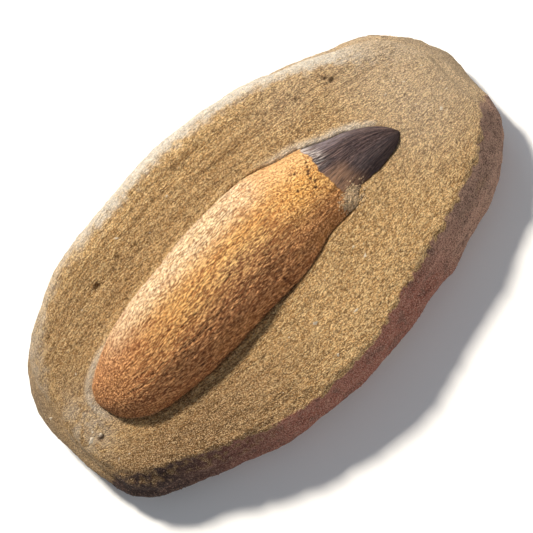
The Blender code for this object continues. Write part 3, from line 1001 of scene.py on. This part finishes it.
def sand_material():
    """Sand, the pale dusting on it, its painted light and shade, and the broken stone of the front wall: for
    the block and the loose grains.
    """
    n = Nodes("matrix_sand")
    flow, relief = n.vector("flow"), n.value("relief")
    broad = n.noise(0.018, 3, 0.55)
    patch = n.noise((0.014, 0.0032, 0.005), 3, 0.6, place=flow, offset=3.1)
    streak = n.noise((0.0014, 0.00033, 0.00033), 2, 0.6, place=flow, offset=7.3)
    lines = n.noise((0.015, 0.00085, 0.0015), 1, 0.5, place=flow, offset=3.7)
    fine = n.noise(0.00031, 2, 0.65, offset=1.3)
    middle, own = n.cells((0.00066, 0.00035, 0.00035), place=flow, offset=5.2)
    dust_and_painted_light, painted_shade, tone = n.value("dust_and_painted_light"), n.value("painted_shade"), n.value("tone")
    sand = n.mix(n.fit(broad, 0.35, 0.65), (0.59, 0.32, 0.11), (0.68, 0.38, 0.141))
    sand = n.tint(sand, (0.76, 0.46, 0.195), patch, 0.46, 0.64, 0.45)
    sand = n.tint(sand, (0.34, 0.18, 0.068), patch, 0.44, 0.30, 0.45)
    sand = n.wash(sand, DUST_AND_PAINTED_LIGHT, "dust_and_painted_light", 0.95)
    sand = n.wash(sand, (0.47, 0.39, 0.295), "grey", 0.60)
    from_line = n.math("ABSOLUTE", n.math("SUBTRACT", lines, 0.47))
    sand = n.tint(sand, (0.20, 0.11, 0.045), from_line, 0.04, 0.0, 0.62)
    sand = n.tint(sand, (0.90, 0.64, 0.33), lines, 0.56, 0.68, 0.40)
    # painted highlights on the raised streaks and painted shade in the low ones, as the bump has them
    sand = n.tint(sand, (0.92, 0.62, 0.29), streak, 0.52, 0.62, 0.55)
    sand = n.tint(sand, (0.19, 0.10, 0.038), streak, 0.48, 0.38, 0.60)
    sand = n.tint(sand, (1.0, 0.73, 0.37), own, 0.60, 1.0, 0.70)
    sand = n.tint(sand, (0.17, 0.09, 0.034), own, 0.40, 0.0, 0.70)
    # painted shade in the seams between the packed grains, which the bump sinks
    sand = n.tint(sand, SAND_SEAM, middle, 0.42, 0.80, 0.60)
    sand = n.tint(sand, SAND_SEAM, fine, 0.54, 0.64, 0.75)
    sand = n.tint(sand, (1.0, 0.73, 0.39), fine, 0.46, 0.36, 0.70)
    # painted shade where the relief is sunk, and painted highlight where it is proud
    sand = n.tint(sand, (0.14, 0.078, 0.032), relief, -0.30, -1.0, 0.45)
    sand = n.tint(sand, (0.86, 0.62, 0.33), relief, 0.25, 1.0, 0.15)
    sand = n.wash(sand, DUST_AND_PAINTED_LIGHT, "dust_and_painted_light", 0.45)
    sand = n.tint(sand, (1.0, 0.96, 0.87), fine, 0.46, 0.36, 0.70, where=dust_and_painted_light)
    sand = n.tint(sand, (0.42, 0.33, 0.23), fine, 0.54, 0.64, 0.60, where=dust_and_painted_light)
    # painted shade: the sand darkened by this share, with some pale grains kept in it on the next line
    sand = n.mix(painted_shade, sand, (0.50, 0.46, 0.44), "MULTIPLY")
    sand = n.tint(sand, (0.86, 0.60, 0.34), fine, 0.47, 0.37, 0.70, where=painted_shade)
    sand = n.wash(sand, (0.24, 0.175, 0.12), "lower", 0.55)
    sand = n.tint(sand, (0.94, 0.69, 0.40), tone, 0.55, 0.95, 0.60)
    sand = n.tint(sand, (0.17, 0.092, 0.038), tone, 0.45, 0.05, 0.60)
    colour = n.mix(n.value("stone"), sand, stone_colour(n, fine, tone))
    colour = n.tint(colour, (0.74, 0.65, 0.51), tone, 0.98, 0.984, 0.85)
    bumps = n.math("ADD", streak, n.times(fine, 0.6))
    bumps = n.math("SUBTRACT", bumps, n.times(middle, 0.35))
    return n.finished(colour, 0.92, 0.25, n.bump(bumps, 0.0009))


def bone_colour(n, relief, fibres, fine, patch, middle, own):
    """The root: cream above, russet below and at its end, ochre next to the crown."""
    broad = n.noise((0.016, 0.009, 0.009), 3, 0.6)
    bone = n.mix(n.fit(broad, 0.38, 0.62), (0.56, 0.215, 0.062), (0.75, 0.355, 0.102))
    bone = n.tint(bone, (0.84, 0.49, 0.16), patch, 0.50, 0.70, 0.50)
    bone = n.tint(bone, (0.44, 0.15, 0.04), patch, 0.44, 0.28, 0.35)
    bone = n.wash(bone, (0.80, 0.42, 0.09), "ochre", 0.45)
    bone = n.wash(bone, (0.93, 0.74, 0.46), "cream", 0.50)
    bone = n.wash(bone, (0.82, 0.43, 0.20), "salmon", 0.72)
    bone = n.wash(bone, (0.24, 0.095, 0.044), "russet", 0.63)
    bone = n.wash(bone, (0.20, 0.085, 0.05), "bruise", 0.50)
    bone = n.wash(bone, (0.50, 0.35, 0.21), "ashen", 0.40)
    pale = n.mix(n.value("cream"), (1.0, 0.64, 0.24), (1.0, 0.83, 0.54))
    pale = n.mix(n.value("russet"), pale, (0.86, 0.44, 0.19))
    # painted highlights on the granules' crests and painted shade in the crevices, both from the relief's
    # tone
    bone = n.tint(bone, pale, relief, 0.10, 1.0, 0.50)
    bone = n.tint(bone, (0.17, 0.05, 0.014), relief, -0.10, -1.0, 0.55)
    calm = n.fit(n.value("ochre"), 0.0, 1.0, 1.0, 0.65)
    strands = n.noise((0.0055, 0.0007, 0.0007), 2, 0.6, place=fibres, offset=4.9)
    bone = n.tint(bone, (0.15, 0.05, 0.018), strands, 0.46, 0.36, 0.50, where=calm)
    bone = n.tint(bone, pale, strands, 0.54, 0.64, 0.35, where=calm)
    bone = n.tint(bone, pale, own, 0.55, 0.95, 0.62, where=calm)
    bone = n.tint(bone, (0.26, 0.085, 0.022), own, 0.45, 0.0, 0.50, where=calm)
    # painted shade in the seams between the granules, where the bump sinks them
    bone = n.tint(bone, (0.12, 0.038, 0.013), middle, 0.42, 0.80, 0.65, where=calm)
    bone = n.tint(bone, pale, fine, 0.46, 0.38, 0.70)
    bone = n.tint(bone, (0.14, 0.047, 0.017), fine, 0.53, 0.62, 0.80)
    # painted shade: near black in the deepest crevices
    return n.tint(bone, (0.06, 0.02, 0.009), relief, -0.86, -1.0, 0.80)


def enamel_colour(n, relief, flow):
    """The crown's dark enamel, worn brown at its base with a painted pale highlight above, and its two sets
    of lines.
    """
    hairs = n.noise((0.0085, 0.00044, 1.0), 3, 0.75, place=flow, offset=2.2)
    threads = n.noise((0.0032, 0.00038, 1.0), 2, 0.7, place=flow, offset=5.7)
    crown = n.mix(n.fit(relief, -0.6, 0.6), (0.028, 0.016, 0.018), (0.054, 0.031, 0.033))
    crown = n.tint(crown, (0.31, 0.195, 0.16), hairs, 0.53, 0.59, 0.90)
    crown = n.tint(crown, (0.012, 0.008, 0.009), threads, 0.47, 0.38, 0.90)
    # painted sheen: blue-grey lines on the crown's upper side
    crown = n.tint(crown, (0.30, 0.255, 0.285), threads, 0.46, 0.56, 0.90, where=n.value("painted_sheen"))
    crown = n.wash(crown, (0.068, 0.054, 0.06), "shadowy", 0.50)
    specks = n.noise((0.0011, 0.00042, 1.0), 2, 0.7, place=flow, offset=1.9)
    crown = n.tint(crown, (0.26, 0.19, 0.175), specks, 0.55, 0.65, 0.55)
    worn = n.times(n.value("worn"), n.fit(threads, 0.36, 0.56, 0.25, 1.0))
    crown = n.mix(worn, crown, (0.33, 0.185, 0.11))
    # painted highlight: pale on the upper side of the crown's base
    crown = n.tint(crown, (0.74, 0.66, 0.60), threads, 0.48, 0.62, where=n.value("painted_highlight"))
    return crown, hairs, threads


def tooth_material():
    """Bone and enamel, with the thin crust of sand on the bone."""
    n = Nodes("tooth_bone_and_enamel")
    enamel, relief = n.value("enamel"), n.value("relief")
    flow, fibres = n.vector("flow"), n.vector("fibres")
    patch = n.noise((0.007, 0.0032, 0.0032), 3, 0.6, offset=2.7)
    threads = n.noise((0.00105, 0.00031, 0.00031), 2, 0.7, place=fibres, offset=5.1)
    grain = n.noise((0.00052, 0.0004, 0.0004), 1, 0.6, offset=3.3)
    fine = n.between(n.value("grainy"), threads, grain)
    middle, own = n.cells((0.00105, 0.00034, 0.00034), place=fibres, offset=8.3)
    crown, hairs, ribs = enamel_colour(n, relief, flow)
    colour = n.mix(enamel, bone_colour(n, relief, fibres, fine, patch, middle, own), crown)
    crust = n.mix(n.fit(fine, 0.43, 0.57), (0.90, 0.64, 0.43), (0.30, 0.165, 0.10))
    colour = n.mix(n.times(n.value("sandy"), n.fit(own, 0.0, 1.0, 0.25, 0.75)), colour, crust)
    roughness = n.fit(enamel, 0.0, 1.0, 0.75, 0.46)
    grooves = n.math("ADD", n.times(hairs, 0.80), n.times(ribs, 0.70))
    granules = n.math("SUBTRACT", fine, n.times(middle, 0.45))
    bumps = n.between(enamel, granules, grooves)
    return n.finished(colour, roughness, 0.20, n.bump(bumps, 0.00045))


def floor_material():
    n = Nodes("floor")
    pale = n.mix(n.noise(0.2, 2), (0.90, 0.90, 0.90), (0.93, 0.93, 0.93))
    n.fill(n.shader, {"Base Color": pale, "Roughness": 0.9})
    return n.material


# Stage


def make_floor():
    bpy.ops.mesh.primitive_plane_add(size=FLOOR_SIZE, location=(0, 0, 0))
    floor = bpy.context.object
    floor.name = "floor"
    floor.data.materials.append(floor_material())


def make_light(name, place, size, watts, colour):
    data = bpy.data.lights.new(name, "AREA")
    data.size = size
    data.energy = watts
    data.color = colour
    light = new_object(name, data)
    light.location = place
    light.rotation_mode = "QUATERNION"
    light.rotation_quaternion = (-Vector(place)).to_track_quat("-Z", "Y")


def make_world(colour, strength):
    world = bpy.data.worlds.new("studio")
    world.use_nodes = True
    inputs = world.node_tree.nodes["Background"].inputs
    inputs["Color"].default_value = (*colour, 1.0)
    inputs["Strength"].default_value = strength
    bpy.context.scene.world = world


def make_camera():
    """The camera, turned about its line of sight so that the tooth points to the upper right."""
    data = bpy.data.cameras.new("camera")
    data.sensor_width = SENSOR
    data.lens = LENS
    camera = new_object("camera", data)
    rise, roll = math.radians(ELEVATION), math.radians(ROLL)
    ahead = Vector((0, math.cos(rise), -math.sin(rise)))
    across = Vector((1, 0, 0))
    above = Vector((0, math.sin(rise), math.cos(rise)))
    right = across * math.cos(roll) - above * math.sin(roll)
    up = across * math.sin(roll) + above * math.cos(roll)
    turned = Matrix((right, up, -ahead)).transposed().to_4x4()
    camera.matrix_world = Matrix.Translation(LOOK_AT - ahead * DISTANCE) @ turned
    bpy.context.scene.camera = camera


def dress(piece, node, material):
    """Gives a piece its material, and says what it rides and replaces."""
    piece.data.materials.append(material)
    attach(piece, "root")
    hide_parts(node)


def main():
    make_camera()
    make_floor()
    make_world(SKY_COLOUR, SKY_STRENGTH)
    for light in LIGHTS:
        make_light(*light)
    sand = sand_material()
    tooth, matrix = make_tooth(), make_matrix()
    dress(tooth, "tooth", tooth_material())
    dress(matrix, "matrix", sand)
    dress(make_grains(matrix, tooth), "matrix", sand)
    bpy.context.scene.view_settings.view_transform = "Standard"


main()
